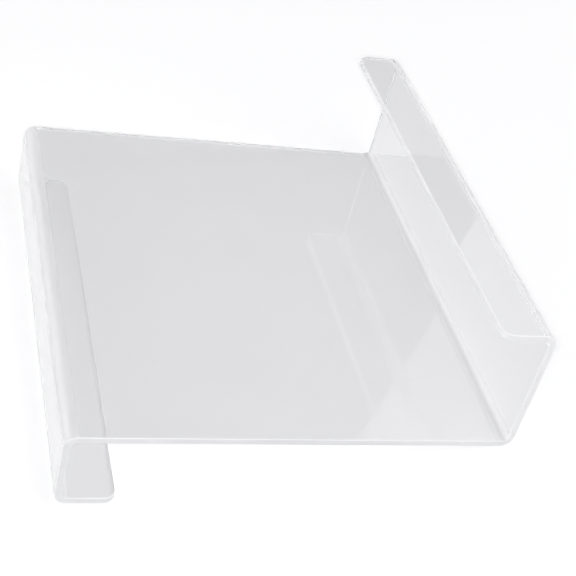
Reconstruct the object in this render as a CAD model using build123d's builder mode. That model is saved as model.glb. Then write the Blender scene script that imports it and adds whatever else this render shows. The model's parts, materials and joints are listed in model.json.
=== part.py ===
"""Magazine rack made from one sheet of clear acrylic, heat-bent square along four parallel lines.

The side view is an S: foot, leg, main panel, pocket wall, pocket flange. X runs along the bend lines,
the pocket is on the -Y side, and the rack stands on the foot's free edge and the bend under the pocket.
"""

import os
from math import asin, atan2, cos, degrees, hypot, sin

from build123d import *

# Driving dimensions in millimetres, each measured over the outside of the sheet
SHEET = 4.0  # thickness of the acrylic
WIDTH = 305.0  # along the bend lines
PANEL = 260.0  # outside of the leg to outside of the pocket wall
LEG = 50.0  # top of the panel to underside of the foot
FOOT = 34.5  # outside of the leg to the foot's free edge
WALL = 84.0  # underside of the panel to top of the flange
FLANGE = 34.0  # outside of the wall to the flange's free edge
BEND_INSIDE = 3.5  # inside radius that the heated line takes round the former
CORNER = 7.0  # radius of the four free corners, seen square to the sheet
ARRIS = 0.4  # rounding that polishing leaves on every cut edge

BEND_MIDDLE = BEND_INSIDE + SHEET / 2
BEND_OUTSIDE = BEND_INSIDE + SHEET

# Side view before tilting: x from the outside of the leg to the pocket, y up from the top of the panel
foot_y = SHEET / 2 - LEG
leg_x = SHEET / 2
panel_y = -SHEET / 2
wall_x = PANEL - SHEET / 2
flange_y = WALL - SHEET * 3 / 2
middle_line = [
    (FOOT, foot_y),
    (leg_x, foot_y),
    (leg_x, panel_y),
    (wall_x, panel_y),
    (wall_x, flange_y),
    (PANEL - FLANGE, flange_y),
]

# Centres of the round edges and bends that touch the floor or reach furthest out
foot_edge = (FOOT - ARRIS, ARRIS - LEG)
foot_bend = (BEND_OUTSIDE, BEND_OUTSIDE - LEG)
pocket_bend = (PANEL - BEND_OUTSIDE, BEND_OUTSIDE - SHEET)
flange_bend = (PANEL - BEND_OUTSIDE, WALL - SHEET - BEND_OUTSIDE)

# Tilt at which the foot's free edge and the pocket bend stand on one level
run = pocket_bend[0] - foot_edge[0]
rise = pocket_bend[1] - foot_edge[1]
tilt = atan2(rise, run) - asin((BEND_OUTSIDE - ARRIS) / hypot(run, rise))


def standing(point):
    """Distance towards the pocket and height of a side-view point, once the rack is tilted."""
    x, y = point
    return x * cos(tilt) + y * sin(tilt), y * cos(tilt) - x * sin(tilt)


floor = standing(pocket_bend)[1] - BEND_OUTSIDE
back = standing(foot_bend)[0] - BEND_OUTSIDE
front = standing(flange_bend)[0] + BEND_OUTSIDE
side = Plane(
    origin=(0, (back + front) / 2, -floor),
    x_dir=(0, -cos(tilt), -sin(tilt)),
    z_dir=(-1, 0, 0),
)

# The bent sheet: its middle line is thickened, drawn out to the width, and its free corners rounded
with BuildPart() as formed_sheet:
    with BuildSketch(side) as profile:
        with BuildLine() as middle:
            FilletPolyline(*middle_line, radius=BEND_MIDDLE)
        trace(line_width=SHEET)
    extrude(amount=WIDTH / 2, both=True)
    across_sheet = formed_sheet.edges().filter_by(lambda edge: abs(edge.length - SHEET) < ARRIS / 10)
    free_corners = across_sheet.filter_by(lambda edge: abs(edge.tangent_at(0).X) < ARRIS / 10)
    fillet(free_corners, radius=CORNER)
    cut_sides = formed_sheet.faces().filter_by(Axis.X)
    rim = cut_sides.edges().filter_by(lambda edge: edge.length > SHEET + ARRIS)
    fillet(rim, radius=ARRIS)

formed_sheet.part.label = "formed_sheet"
os.makedirs("parts", exist_ok=True)
export_step(formed_sheet.part, "parts/formed_sheet.step")

# Size of the flat sheet that is cut before bending, and the finished rack's outside size
blank_length = sum(edge.length for edge in middle.edges())
size = formed_sheet.part.bounding_box().size
print(f"tilt {degrees(tilt):.3f} deg, flat blank {blank_length:.1f} x {WIDTH:.1f} x {SHEET:.1f} mm")
print(f"outside size {size.X:.2f} x {size.Y:.2f} x {size.Z:.2f} mm, volume {formed_sheet.part.volume:.0f} mm3")
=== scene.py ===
"""Clear acrylic magazine rack: a flat sheet, heat-bent along four lines, with its studio and camera."""

import json
from math import atan2, cos, pi, radians, sin

import bmesh
import bpy
from mathutils import Matrix, Vector


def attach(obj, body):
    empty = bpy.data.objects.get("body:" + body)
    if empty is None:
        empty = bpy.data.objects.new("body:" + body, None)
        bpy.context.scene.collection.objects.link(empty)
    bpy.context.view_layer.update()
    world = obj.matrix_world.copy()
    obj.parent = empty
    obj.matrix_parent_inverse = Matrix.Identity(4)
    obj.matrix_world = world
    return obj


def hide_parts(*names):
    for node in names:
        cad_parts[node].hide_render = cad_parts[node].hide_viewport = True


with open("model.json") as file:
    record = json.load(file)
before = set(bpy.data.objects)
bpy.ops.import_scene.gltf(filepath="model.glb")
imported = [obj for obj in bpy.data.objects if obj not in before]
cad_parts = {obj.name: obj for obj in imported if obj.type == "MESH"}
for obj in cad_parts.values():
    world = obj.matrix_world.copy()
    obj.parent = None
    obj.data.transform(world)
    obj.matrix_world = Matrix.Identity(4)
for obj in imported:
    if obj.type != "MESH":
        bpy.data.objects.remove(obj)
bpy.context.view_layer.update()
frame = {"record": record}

# Driving dimensions of the sheet in metres, each measured over the outside, as in the solid model
SHEET = 0.004
WIDTH = 0.305
PANEL = 0.260
LEG = 0.050
FOOT = 0.0345
WALL = 0.084
FLANGE = 0.034
BEND_INSIDE = 0.0035
CORNER = 0.007
ARRIS = 0.0004

# The flat blank: straight runs, and where each bend starts along it, counted from the foot's free edge
BEND_MIDDLE = BEND_INSIDE + SHEET / 2
ARC = BEND_MIDDLE * pi / 2
END_SETBACK = SHEET / 2 + BEND_MIDDLE
SETBACK = SHEET + 2 * BEND_MIDDLE
RUNS = (FOOT - END_SETBACK, LEG - SETBACK, PANEL - SETBACK, WALL - SETBACK, FLANGE - END_SETBACK)
BEND_STARTS = [sum(RUNS[:count]) + (count - 1) * ARC for count in range(1, len(RUNS))]
BEND_TURNS = (radians(90), radians(90), radians(-90), radians(-90))
BLANK_LENGTH = sum(RUNS) + len(BEND_STARTS) * ARC

# Fineness of the sheet's mesh
BEND_STEPS = 20
CORNER_STEPS = 12
ARRIS_STEPS = 3
ACROSS_STEPS = 24
HEAT_MARGIN = 0.003  # how far the heated strip reaches past each bend
HEATED_SHARE = 0.51  # of a bend's strip, to each side of its middle, with a little over to take in its ends
ARRIS_ANGLE = radians(60)
FLAT_FIRST = 100  # weight of large flat faces in the shading

# Camera, worked out from the straight edges in the photograph
CAMERA_AZIMUTH = radians(256.19)
CAMERA_ELEVATION = radians(39.48)
CAMERA_ROLL = radians(2.02)
CAMERA_DISTANCE = 0.8298
CAMERA_TARGET = Vector((-0.0172, -0.0198, 0.0244))
CAMERA_LENS = 81.86
CAMERA_CLIP = 0.01

# Studio: azimuths and elevations are seen from the rack, as the camera's are
FLOOR_SIZE = 60.0
FLOOR_COLOUR = (0.95, 0.95, 0.95, 1.0)
LIGHT_COLOUR = (0.985, 0.985, 1.0, 1.0)
WORLD_DIM = 0.178
WORLD_BACKDROP = 0.26
WORLD_LEFT = 0.55
WORLD_CEILING = 0.48
WORLD_HORIZON = 0.1
WALL_FADE = (0.2, 0.6)  # how squarely a direction faces a wall where its light starts and where it is full
CEILING_FADE = (0.6, 0.9)  # sine of the elevation, the same way
HORIZON_FADE = (0.25, 0.1)
KEY_AZIMUTH = radians(-45)
KEY_ELEVATION = radians(42)
KEY_DISTANCE = 2.0
KEY_SIZE = (1.4, 1.4)
KEY_RADIANCE = 2.2
SIDE_EDGE_AZIMUTH = radians(46.5)  # the upright edge that the panel and the flange mirror
SIDE_EDGE_DISTANCE = 0.96
SIDE_HALF_ANGLE = radians(20)
SIDE_BOTTOM, SIDE_TOP = 0.2, 1.2
SIDE_RADIANCE = 0.56
FILL_LEVEL = 0.287
FILL_FEATHER = 0.87  # how much weaker it gets towards the key light's side
FILL_RADIUS = 0.02
FILL_STEEPNESS = 0.3  # sine of the flattest angle whose slant the fill makes up for

# Finishes of the acrylic, with lengths in metres
ACRYLIC_IOR = 1.49
CLEAR_COLOUR = (0.997, 0.997, 0.999, 1.0)
DULLED_COLOUR = (0.985, 0.985, 0.988, 1.0)
HAZE_SIZE = 0.07
HAZE_DETAIL = 5.0
HAZE_BREAKUP = 0.6
HAZE_RANGE = (0.4, 0.75)  # noise at which a hazy patch starts and is full
FACE_ROUGHNESS = 0.01
HAZE_ROUGHNESS = 0.03
SPARSE = {"Least": 0.68, "Most": 0.76}  # noise at which a streak starts and is full
CLOSE = {"Least": 0.3, "Most": 0.7}
HAIRLINE_ROUGHNESS = 0.08
HAIRLINE_WIDTH, HAIRLINE_LENGTH = 0.0005, 0.05
HAIRLINE_ANGLES = (radians(24), radians(-57))
HEAT_ROUGHNESS = 0.3
HEAT_COLOUR = (0.99, 0.99, 0.993, 1.0)
PULL_WIDTH, PULL_LENGTH = 0.0012, 0.03
PULL_HEIGHT = 0.000001
WAVE_SIZE, WAVE_HEIGHT = 0.06, 0.00004
EDGE_COLOUR = (0.94, 0.94, 0.945, 1.0)
EDGE_ROUGHNESS = 0.3
EDGE_TRANSMISSION = 0.8
TOOL_LINE_WIDTH, TOOL_LINE_LENGTH = 0.0005, 0.008
TOOL_LINE_ROUGHNESS = 0.1
TOOL_LINE_HEIGHT = 0.000004
ARRIS_COLOUR = (0.95, 0.95, 0.955, 1.0)
ARRIS_ROUGHNESS = 0.3
ARRIS_TRANSMISSION = 0.3
FACE_LIMITS = (2.0, 0.99, 0.01)  # flatness below which faces, arrises and cut edges get their finish, in turn

# Light paths: the cut edges glow with light that runs along the sheet, turned back at its faces many times
LIGHT_BOUNCES = 256


def flat_blank():
    """Mesh of the blank's middle surface, with cross lines at the bends and rounded corners at both ends."""
    mesh = bmesh.new()
    across = [WIDTH * (step / ACROSS_STEPS - 0.5) for step in range(ACROSS_STEPS + 1)]
    along = [CORNER]
    for start in BEND_STARTS:
        along.append(start - HEAT_MARGIN)
        along.extend(start + ARC * step / BEND_STEPS for step in range(BEND_STEPS + 1))
        along.append(start + ARC + HEAT_MARGIN)
    along.append(BLANK_LENGTH - CORNER)
    lines = [[mesh.verts.new((x, y, 0)) for x in across] for y in along]
    for near, far in zip(lines, lines[1:]):
        for corners in zip(near, near[1:], far[1:], far):
            mesh.faces.new(corners)
    for line, outwards in ((lines[0], -1), (lines[-1], 1)):
        centre = line[0].co.y
        rounded = []
        for side in (1, -1):
            arc = []
            for step in range(1, CORNER_STEPS + 1):
                angle = radians(90) * step / CORNER_STEPS
                x = side * (WIDTH / 2 - CORNER + CORNER * cos(angle))
                arc.append(mesh.verts.new((x, centre + outwards * CORNER * sin(angle), 0)))
            rounded.extend(arc[::side])
        mesh.faces.new(line + rounded)
    bmesh.ops.recalc_face_normals(mesh, faces=mesh.faces)
    data = bpy.data.meshes.new("formed_acrylic")
    mesh.to_mesh(data)
    mesh.free()
    return data


def maths(tree, operation, first, second=0.0):
    """Adds a maths node and returns its result. Each operand is a number or another node's output."""
    node = tree.nodes.new("ShaderNodeMath")
    node.operation = operation
    for socket, operand in zip(node.inputs, (first, second)):
        if isinstance(operand, (int, float)):
            socket.default_value = operand
        else:
            tree.links.new(operand, socket)
    return node.outputs[0]


def heat_bend_group():
    """Node group that rolls the sheet round one heated strip and swings all that lies beyond it."""
    tree = bpy.data.node_groups.new("heat_bend", "GeometryNodeTree")
    face = tree.interface
    face.new_socket("Sheet", in_out="INPUT", socket_type="NodeSocketGeometry")
    for name in ("Along", "Start", "Turn", "Radius"):
        face.new_socket(name, in_out="INPUT", socket_type="NodeSocketFloat")
    face.new_socket("Sheet", in_out="OUTPUT", socket_type="NodeSocketGeometry")
    face.new_socket("Heat", in_out="OUTPUT", socket_type="NodeSocketFloat")
    given = tree.nodes.new("NodeGroupInput").outputs
    result = tree.nodes.new("NodeGroupOutput").inputs
    strip = maths(tree, "MULTIPLY", given["Radius"], maths(tree, "ABSOLUTE", given["Turn"]))
    beyond = maths(tree, "SUBTRACT", given["Along"], given["Start"])
    rolled = maths(tree, "MINIMUM", maths(tree, "MAXIMUM", beyond, 0.0), strip)
    middle = maths(tree, "DIVIDE", strip, 2.0)
    off_middle = maths(tree, "ABSOLUTE", maths(tree, "SUBTRACT", beyond, middle))
    heated = maths(tree, "LESS_THAN", off_middle, maths(tree, "MULTIPLY", strip, HEATED_SHARE))
    tree.links.new(heated, result["Heat"])
    side = maths(tree, "SIGN", given["Turn"])
    centre = tree.nodes.new("ShaderNodeCombineXYZ")
    tree.links.new(given["Start"], centre.inputs["Y"])
    tree.links.new(maths(tree, "MULTIPLY", given["Radius"], side), centre.inputs["Z"])
    pulled = tree.nodes.new("ShaderNodeCombineXYZ")
    tree.links.new(rolled, pulled.inputs["Y"])
    back = tree.nodes.new("ShaderNodeVectorMath")
    back.operation = "SUBTRACT"
    tree.links.new(tree.nodes.new("GeometryNodeInputPosition").outputs[0], back.inputs[0])
    tree.links.new(pulled.outputs[0], back.inputs[1])
    turned = tree.nodes.new("ShaderNodeVectorRotate")
    turned.rotation_type = "X_AXIS"
    tree.links.new(back.outputs[0], turned.inputs["Vector"])
    tree.links.new(centre.outputs[0], turned.inputs["Center"])
    angle = maths(tree, "MULTIPLY", maths(tree, "DIVIDE", rolled, given["Radius"]), side)
    tree.links.new(angle, turned.inputs["Angle"])
    moved = tree.nodes.new("GeometryNodeSetPosition")
    tree.links.new(given["Sheet"], moved.inputs["Geometry"])
    tree.links.new(turned.outputs[0], moved.inputs["Position"])
    tree.links.new(moved.outputs[0], result["Sheet"])
    return tree


def stored(tree, sheet, name, kind, domain, value):
    """Stores a named value on the sheet for its material to read, and returns the sheet."""
    node = tree.nodes.new("GeometryNodeStoreNamedAttribute")
    node.data_type = kind
    node.domain = domain
    node.inputs["Name"].default_value = name
    tree.links.new(sheet, node.inputs["Geometry"])
    tree.links.new(value, node.inputs["Value"])
    return node.outputs[0]


def recalled(tree, name, kind):
    """Reads a named value back from the sheet."""
    node = tree.nodes.new("GeometryNodeInputNamedAttribute")
    node.data_type = kind
    node.inputs["Name"].default_value = name
    return node.outputs["Attribute"]


def forming_tree(finishes):
    """Geometry Nodes tree that bends the flat blank at its lines, last line first, and stands it in place."""
    tree = bpy.data.node_groups.new("forming", "GeometryNodeTree")
    face = tree.interface
    face.new_socket("Sheet", in_out="INPUT", socket_type="NodeSocketGeometry")
    for number in range(1, len(BEND_STARTS) + 1):
        for name in ("Start", "Turn"):
            face.new_socket(f"{name} {number}", in_out="INPUT", socket_type="NodeSocketFloat")
    face.new_socket("Radius", in_out="INPUT", socket_type="NodeSocketFloat")
    face.new_socket("Tilt", in_out="INPUT", socket_type="NodeSocketFloat")
    face.new_socket("Place", in_out="INPUT", socket_type="NodeSocketVector")
    face.new_socket("Sheet", in_out="OUTPUT", socket_type="NodeSocketGeometry")
    given = tree.nodes.new("NodeGroupInput").outputs
    result = tree.nodes.new("NodeGroupOutput").inputs
    position = tree.nodes.new("GeometryNodeInputPosition").outputs[0]
    normal = tree.nodes.new("ShaderNodeSeparateXYZ")
    tree.links.new(tree.nodes.new("GeometryNodeInputNormal").outputs[0], normal.inputs[0])
    upright = maths(tree, "ABSOLUTE", normal.outputs["Z"])
    sheet = stored(tree, given["Sheet"], "blank", "FLOAT_VECTOR", "POINT", position)
    sheet = stored(tree, sheet, "flatness", "FLOAT", "FACE", upright)
    split = tree.nodes.new("ShaderNodeSeparateXYZ")
    tree.links.new(recalled(tree, "blank", "FLOAT_VECTOR"), split.inputs[0])
    flatness = recalled(tree, "flatness", "FLOAT")
    bend = heat_bend_group()
    heat = 0.0
    for number in range(len(BEND_STARTS), 0, -1):
        node = tree.nodes.new("GeometryNodeGroup")
        node.node_tree = bend
        tree.links.new(sheet, node.inputs["Sheet"])
        tree.links.new(split.outputs["Y"], node.inputs["Along"])
        tree.links.new(given[f"Start {number}"], node.inputs["Start"])
        tree.links.new(given[f"Turn {number}"], node.inputs["Turn"])
        tree.links.new(given["Radius"], node.inputs["Radius"])
        sheet = node.outputs["Sheet"]
        heat = maths(tree, "MAXIMUM", node.outputs["Heat"], heat)
    sheet = stored(tree, sheet, "bend_heat", "FLOAT", "POINT", heat)
    tilted = tree.nodes.new("ShaderNodeCombineXYZ")
    tree.links.new(given["Tilt"], tilted.inputs["X"])
    stood = tree.nodes.new("GeometryNodeTransform")
    tree.links.new(sheet, stood.inputs["Geometry"])
    tree.links.new(given["Place"], stood.inputs["Translation"])
    tree.links.new(tilted.outputs[0], stood.inputs["Rotation"])
    real = tree.nodes.new("GeometryNodeRealizeInstances")
    tree.links.new(stood.outputs[0], real.inputs[0])
    sheet = real.outputs[0]
    for material, limit in zip(finishes, FACE_LIMITS):
        finish = tree.nodes.new("GeometryNodeSetMaterial")
        finish.inputs["Material"].default_value = material
        tree.links.new(sheet, finish.inputs["Geometry"])
        tree.links.new(maths(tree, "LESS_THAN", flatness, limit), finish.inputs["Selection"])
        sheet = finish.outputs[0]
    tree.links.new(sheet, result["Sheet"])
    return tree


def standing_place():
    """Tilt of the panel, and the move that brings the bent sheet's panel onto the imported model's."""
    rest = next(mount for mount in frame["record"]["mounts"] if mount["name"] == "panel_rest")
    tilt = atan2(-rest["axis"][1], rest["axis"][2])
    panel_middle = Vector((0, FOOT - PANEL / 2, LEG - SHEET / 2))
    return tilt, Vector(rest["pos_m"]) - Matrix.Rotation(tilt, 3, "X") @ panel_middle


def set_inputs(modifier, values):
    """Sets a node modifier's inputs by name."""
    for item in modifier.node_group.interface.items_tree:
        if item.in_out == "INPUT" and item.name in values:
            modifier[item.identifier] = values[item.name]


def formed_acrylic(finishes):
    """The whole rack: blank given its thickness and polished edges, then bent and stood in place."""
    sheet = bpy.data.objects.new("formed_acrylic", flat_blank())
    bpy.context.scene.collection.objects.link(sheet)
    thickness = sheet.modifiers.new("thickness", "SOLIDIFY")
    thickness.thickness = SHEET
    thickness.offset = 0
    arris = sheet.modifiers.new("arris", "BEVEL")
    arris.width = ARRIS
    arris.segments = ARRIS_STEPS
    arris.limit_method = "ANGLE"
    arris.angle_limit = ARRIS_ANGLE
    forming = sheet.modifiers.new("forming", "NODES")
    forming.node_group = forming_tree(finishes)
    tilt, place = standing_place()
    sizes = {"Radius": BEND_MIDDLE, "Tilt": tilt, "Place": place}
    for number, (start, turn) in enumerate(zip(BEND_STARTS, BEND_TURNS), 1):
        sizes[f"Start {number}"] = start
        sizes[f"Turn {number}"] = turn
    set_inputs(forming, sizes)
    even = sheet.modifiers.new("even_normals", "WEIGHTED_NORMAL")
    even.weight = FLAT_FIRST
    for face in sheet.data.polygons:
        face.use_smooth = True
    evaluated = sheet.evaluated_get(bpy.context.evaluated_depsgraph_get())
    made = bpy.data.meshes.new_from_object(evaluated, depsgraph=bpy.context.evaluated_depsgraph_get())
    sheet.modifiers.clear()
    sheet.data = made
    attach(sheet, "root")
    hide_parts("formed_sheet")


def haze_group():
    """Shader node group for soft patches that wiping leaves on a polished face."""
    tree = bpy.data.node_groups.new("wiped_haze", "ShaderNodeTree")
    tree.interface.new_socket("Place", in_out="INPUT", socket_type="NodeSocketVector")
    tree.interface.new_socket("Size", in_out="INPUT", socket_type="NodeSocketFloat")
    tree.interface.new_socket("Haze", in_out="OUTPUT", socket_type="NodeSocketFloat")
    given = tree.nodes.new("NodeGroupInput").outputs
    result = tree.nodes.new("NodeGroupOutput").inputs
    noise = tree.nodes.new("ShaderNodeTexNoise")
    noise.inputs["Detail"].default_value = HAZE_DETAIL
    noise.inputs["Roughness"].default_value = HAZE_BREAKUP
    tree.links.new(given["Place"], noise.inputs["Vector"])
    tree.links.new(maths(tree, "DIVIDE", 1.0, given["Size"]), noise.inputs["Scale"])
    patch = tree.nodes.new("ShaderNodeMapRange")
    patch.interpolation_type = "SMOOTHSTEP"
    patch.inputs["From Min"].default_value, patch.inputs["From Max"].default_value = HAZE_RANGE
    tree.links.new(noise.outputs["Fac"], patch.inputs["Value"])
    tree.links.new(patch.outputs[0], result["Haze"])
    return tree


def side_by_side(tree, across, along):
    """Puts two values together as a place's X and Y."""
    node = tree.nodes.new("ShaderNodeCombineXYZ")
    tree.links.new(across, node.inputs["X"])
    tree.links.new(along, node.inputs["Y"])
    return node.outputs[0]


def streaks_group():
    """Shader node group for fine marks that run one way: along Y of the place they are given."""
    tree = bpy.data.node_groups.new("streaks", "ShaderNodeTree")
    tree.interface.new_socket("Place", in_out="INPUT", socket_type="NodeSocketVector")
    for name in ("Width", "Length", "Least", "Most"):
        tree.interface.new_socket(name, in_out="INPUT", socket_type="NodeSocketFloat")
    tree.interface.new_socket("Mark", in_out="OUTPUT", socket_type="NodeSocketFloat")
    given = tree.nodes.new("NodeGroupInput").outputs
    result = tree.nodes.new("NodeGroupOutput").inputs
    split = tree.nodes.new("ShaderNodeSeparateXYZ")
    tree.links.new(given["Place"], split.inputs[0])
    across = maths(tree, "DIVIDE", split.outputs["X"], given["Width"])
    along = maths(tree, "DIVIDE", split.outputs["Y"], given["Length"])
    noise = tree.nodes.new("ShaderNodeTexNoise")
    noise.noise_dimensions = "2D"
    noise.inputs["Scale"].default_value = 1.0
    noise.inputs["Detail"].default_value = 1.0
    tree.links.new(side_by_side(tree, across, along), noise.inputs["Vector"])
    mark = tree.nodes.new("ShaderNodeMapRange")
    tree.links.new(given["Least"], mark.inputs["From Min"])
    tree.links.new(given["Most"], mark.inputs["From Max"])
    tree.links.new(noise.outputs["Fac"], mark.inputs["Value"])
    tree.links.new(mark.outputs[0], result["Mark"])
    return tree


def group_value(tree, group, place, **values):
    """Places a shader node group with its own values, and returns its result."""
    node = tree.nodes.new("ShaderNodeGroup")
    node.node_tree = group
    tree.links.new(place, node.inputs["Place"])
    for name, value in values.items():
        node.inputs[name].default_value = value
    return node.outputs[0]


def attribute(tree, name):
    """Node that reads a named value of the sheet."""
    node = tree.nodes.new("ShaderNodeAttribute")
    node.attribute_name = name
    return node


def acrylic(name, transmission):
    """New material of clear acrylic, with the share of light that its surface lets through."""
    material = bpy.data.materials.new(name)
    material.use_nodes = True
    shader = material.node_tree.nodes["Principled BSDF"]
    shader.inputs["IOR"].default_value = ACRYLIC_IOR
    shader.inputs["Transmission Weight"].default_value = transmission
    return material, material.node_tree, shader.inputs


def mixed(tree, share, first, second):
    """Colour between two colours. The first is a fixed colour or another node's output."""
    node = tree.nodes.new("ShaderNodeMix")
    node.data_type = "RGBA"
    tree.links.new(share, node.inputs["Factor"])
    if isinstance(first, tuple):
        node.inputs["A"].default_value = first
    else:
        tree.links.new(first, node.inputs["A"])
    node.inputs["B"].default_value = second
    return node.outputs["Result"]


def scaled_sum(tree, base, *terms):
    """A base value plus each term's node output times its number."""
    total = base
    for value, factor in terms:
        total = maths(tree, "ADD", maths(tree, "MULTIPLY", value, factor), total)
    return total


def bumped(tree, height, normal):
    """Leads a height in metres to a shader's normal."""
    bump = tree.nodes.new("ShaderNodeBump")
    bump.inputs["Distance"].default_value = 1.0
    tree.links.new(height, bump.inputs["Height"])
    tree.links.new(bump.outputs[0], normal)


def clear_faces(haze_marks, streaks):
    """Polished faces: faint haze, hairlines, and a softer strip where each bend was heated and pulled."""
    material, tree, shader = acrylic("polished_faces", 1.0)
    blank = attribute(tree, "blank").outputs["Vector"]
    heat = attribute(tree, "bend_heat").outputs["Fac"]
    split = tree.nodes.new("ShaderNodeSeparateXYZ")
    tree.links.new(blank, split.inputs[0])
    haze = group_value(tree, haze_marks, blank, Size=HAZE_SIZE)
    hairlines = 0.0
    for angle in HAIRLINE_ANGLES:
        turn = tree.nodes.new("ShaderNodeMapping")
        turn.inputs["Rotation"].default_value = (0, 0, angle)
        tree.links.new(blank, turn.inputs["Vector"])
        sizes = {"Width": HAIRLINE_WIDTH, "Length": HAIRLINE_LENGTH}
        lines = group_value(tree, streaks, turn.outputs[0], **sizes, **SPARSE)
        hairlines = maths(tree, "MAXIMUM", lines, hairlines)
    along_bend = side_by_side(tree, split.outputs["Y"], split.outputs["X"])
    pulls = group_value(tree, streaks, along_bend, Width=PULL_WIDTH, Length=PULL_LENGTH, **CLOSE)
    pulls = maths(tree, "MULTIPLY", heat, pulls)
    waves = tree.nodes.new("ShaderNodeTexNoise")
    waves.inputs["Scale"].default_value = 1 / WAVE_SIZE
    waves.inputs["Detail"].default_value = 0.0
    tree.links.new(blank, waves.inputs["Vector"])
    rough = ((haze, HAZE_ROUGHNESS), (hairlines, HAIRLINE_ROUGHNESS), (heat, HEAT_ROUGHNESS))
    tree.links.new(scaled_sum(tree, FACE_ROUGHNESS, *rough), shader["Roughness"])
    colour = mixed(tree, heat, mixed(tree, haze, CLEAR_COLOUR, DULLED_COLOUR), HEAT_COLOUR)
    tree.links.new(colour, shader["Base Color"])
    height = scaled_sum(tree, 0.0, (pulls, PULL_HEIGHT), (waves.outputs["Fac"], WAVE_HEIGHT))
    bumped(tree, height, shader["Normal"])
    return material


def tooled(name, transmission, colour, roughness, haze_marks, streaks):
    """Finish of a cut edge or its arris, with fine lines across it from the tool that dressed it."""
    material, tree, shader = acrylic(name, transmission)
    blank = attribute(tree, "blank").outputs["Vector"]
    split = tree.nodes.new("ShaderNodeSeparateXYZ")
    tree.links.new(blank, split.inputs[0])
    round_the_sheet = maths(tree, "ADD", split.outputs["X"], split.outputs["Y"])
    place = side_by_side(tree, round_the_sheet, split.outputs["Z"])
    sizes = {"Width": TOOL_LINE_WIDTH, "Length": TOOL_LINE_LENGTH}
    lines = group_value(tree, streaks, place, **sizes, **CLOSE)
    haze = group_value(tree, haze_marks, blank, Size=HAZE_SIZE)
    tree.links.new(scaled_sum(tree, roughness, (lines, TOOL_LINE_ROUGHNESS)), shader["Roughness"])
    tree.links.new(mixed(tree, haze, colour, DULLED_COLOUR), shader["Base Color"])
    bumped(tree, maths(tree, "MULTIPLY", lines, TOOL_LINE_HEIGHT), shader["Normal"])
    return material


def acrylic_finishes():
    """Materials of the sheet's faces, arrises and cut edges, in the order of their limits."""
    groups = haze_group(), streaks_group()
    arris = tooled("scraped_arris", ARRIS_TRANSMISSION, ARRIS_COLOUR, ARRIS_ROUGHNESS, *groups)
    edge = tooled("dressed_edge", EDGE_TRANSMISSION, EDGE_COLOUR, EDGE_ROUGHNESS, *groups)
    return clear_faces(*groups), arris, edge


def towards(azimuth, elevation):
    """Unit vector from the rack to something seen at that azimuth and elevation."""
    return Vector((sin(azimuth) * cos(elevation), -cos(azimuth) * cos(elevation), sin(elevation)))


def make_camera():
    """Camera at the photograph's place, with its small roll."""
    data = bpy.data.cameras.new("camera")
    data.lens = CAMERA_LENS
    data.clip_start = CAMERA_CLIP
    camera = bpy.data.objects.new("camera", data)
    bpy.context.scene.collection.objects.link(camera)
    turn = Matrix.Rotation(CAMERA_AZIMUTH, 4, "Z")
    tip = Matrix.Rotation(radians(90) - CAMERA_ELEVATION, 4, "X")
    roll = Matrix.Rotation(CAMERA_ROLL, 4, "Z")
    place = CAMERA_TARGET + towards(CAMERA_AZIMUTH, CAMERA_ELEVATION) * CAMERA_DISTANCE
    camera.matrix_world = Matrix.Translation(place) @ turn @ tip @ roll
    bpy.context.scene.camera = camera
    return camera


def make_floor():
    """White floor that takes the rack's shadow."""
    half = FLOOR_SIZE / 2
    mesh = bpy.data.meshes.new("floor")
    corners = [(-half, -half, 0), (half, -half, 0), (half, half, 0), (-half, half, 0)]
    mesh.from_pydata(corners, [], [(0, 1, 2, 3)])
    floor = bpy.data.objects.new("floor", mesh)
    bpy.context.scene.collection.objects.link(floor)
    material = bpy.data.materials.new("floor_white")
    material.use_nodes = True
    shader = material.node_tree.nodes["Principled BSDF"]
    shader.inputs["Base Color"].default_value = FLOOR_COLOUR
    shader.inputs["Roughness"].default_value = 1.0
    shader.inputs["Specular IOR Level"].default_value = 0.0
    mesh.materials.append(material)


def make_world():
    """Dim studio round the rack, with soft light from the far wall, the left wall and the ceiling."""
    world = bpy.data.worlds.new("studio")
    bpy.context.scene.world = world
    world.use_nodes = True
    tree = world.node_tree
    heading = tree.nodes.new("ShaderNodeSeparateXYZ")
    tree.links.new(tree.nodes.new("ShaderNodeTexCoord").outputs["Generated"], heading.inputs[0])
    areas = (
        ("X", WALL_FADE, WORLD_BACKDROP),
        ("Y", WALL_FADE, WORLD_LEFT),
        ("Z", CEILING_FADE, WORLD_CEILING),
        ("Z", HORIZON_FADE, WORLD_HORIZON),
    )
    level = WORLD_DIM
    for axis, (starts, full), strength in areas:
        area = tree.nodes.new("ShaderNodeMapRange")
        area.inputs["From Min"].default_value = starts
        area.inputs["From Max"].default_value = full
        area.inputs["To Max"].default_value = strength
        tree.links.new(heading.outputs[axis], area.inputs["Value"])
        level = maths(tree, "ADD", area.outputs[0], level)
    background = tree.nodes["Background"].inputs
    background["Color"].default_value = LIGHT_COLOUR
    tree.links.new(level, background["Strength"])


def add_lamp(name, kind, place, facing):
    """Adds a lamp of the given kind that faces along a direction, and returns its object."""
    lamp = bpy.data.objects.new(name, bpy.data.lights.new(name, kind))
    bpy.context.scene.collection.objects.link(lamp)
    lamp.matrix_world = Matrix.Translation(place) @ facing.to_track_quat("-Z", "Y").to_matrix().to_4x4()
    return lamp


def soft_light(name, place, facing, size, radiance):
    """Rectangular soft light whose surface looks as bright as its radiance."""
    lamp = add_lamp(name, "AREA", place, facing)
    lamp.data.shape = "RECTANGLE"
    lamp.data.size, lamp.data.size_y = size
    lamp.data.energy = pi * size[0] * size[1] * radiance
    lamp.data.color = LIGHT_COLOUR[:3]


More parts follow.
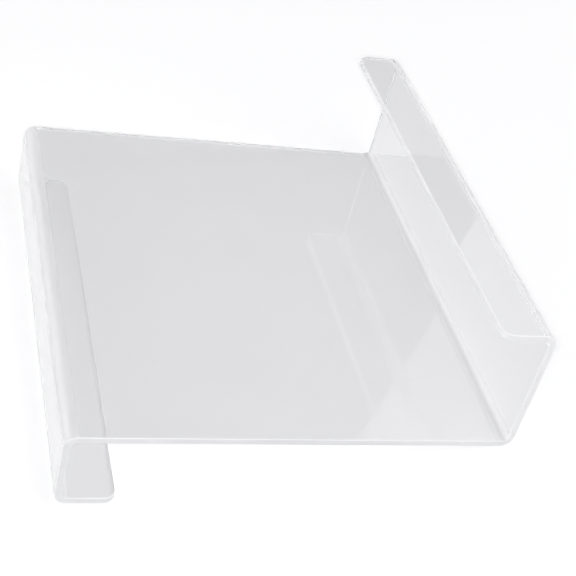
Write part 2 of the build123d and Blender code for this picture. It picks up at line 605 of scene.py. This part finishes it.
def fill_light(place):
    """Lamp that lights the floor evenly: it keeps its strength with distance and makes up for the slant."""
    fill = add_lamp("fill_light", "POINT", place, Vector((0, 0, -1)))
    fill.data.shadow_soft_size = FILL_RADIUS
    fill.data.energy = FILL_LEVEL * 4 * pi * pi
    fill.visible_glossy = False
    fill.visible_transmission = False
    fill.data.use_nodes = True
    tree = fill.data.node_tree
    heading = tree.nodes.new("ShaderNodeSeparateXYZ")
    tree.links.new(tree.nodes.new("ShaderNodeTexCoord").outputs["Normal"], heading.inputs[0])
    slant = maths(tree, "MAXIMUM", maths(tree, "ABSOLUTE", heading.outputs["Z"]), FILL_STEEPNESS)
    feather = maths(tree, "ADD", maths(tree, "MULTIPLY", heading.outputs["Y"], FILL_FEATHER), 1.0)
    evenness = maths(tree, "DIVIDE", maths(tree, "MAXIMUM", feather, 0.0), slant)
    falloff = tree.nodes.new("ShaderNodeLightFalloff")
    tree.links.new(evenness, falloff.inputs["Strength"])
    tree.links.new(falloff.outputs["Constant"], tree.nodes["Emission"].inputs["Strength"])


def make_lamps(camera):
    """Key light right of the camera, a tall light on the pocket's side, and an even fill at the lens."""
    direction = towards(KEY_AZIMUTH, KEY_ELEVATION)
    soft_light("key_light", direction * KEY_DISTANCE, -direction, KEY_SIZE, KEY_RADIANCE)
    direction = towards(SIDE_EDGE_AZIMUTH - SIDE_HALF_ANGLE, 0)
    height = Vector((0, 0, (SIDE_BOTTOM + SIDE_TOP) / 2))
    place = direction * SIDE_EDGE_DISTANCE * cos(SIDE_HALF_ANGLE) + height
    size = (2 * SIDE_EDGE_DISTANCE * sin(SIDE_HALF_ANGLE), SIDE_TOP - SIDE_BOTTOM)
    soft_light("side_light", place, -direction, size, SIDE_RADIANCE)
    fill_light(camera.matrix_world.translation)


make_floor()
make_world()
make_lamps(make_camera())
formed_acrylic(acrylic_finishes())

scene = bpy.context.scene
scene.view_settings.view_transform = "Standard"
scene.cycles.blur_glossy = 0
scene.cycles.max_bounces = LIGHT_BOUNCES
scene.cycles.glossy_bounces = LIGHT_BOUNCES
scene.cycles.transmission_bounces = LIGHT_BOUNCES
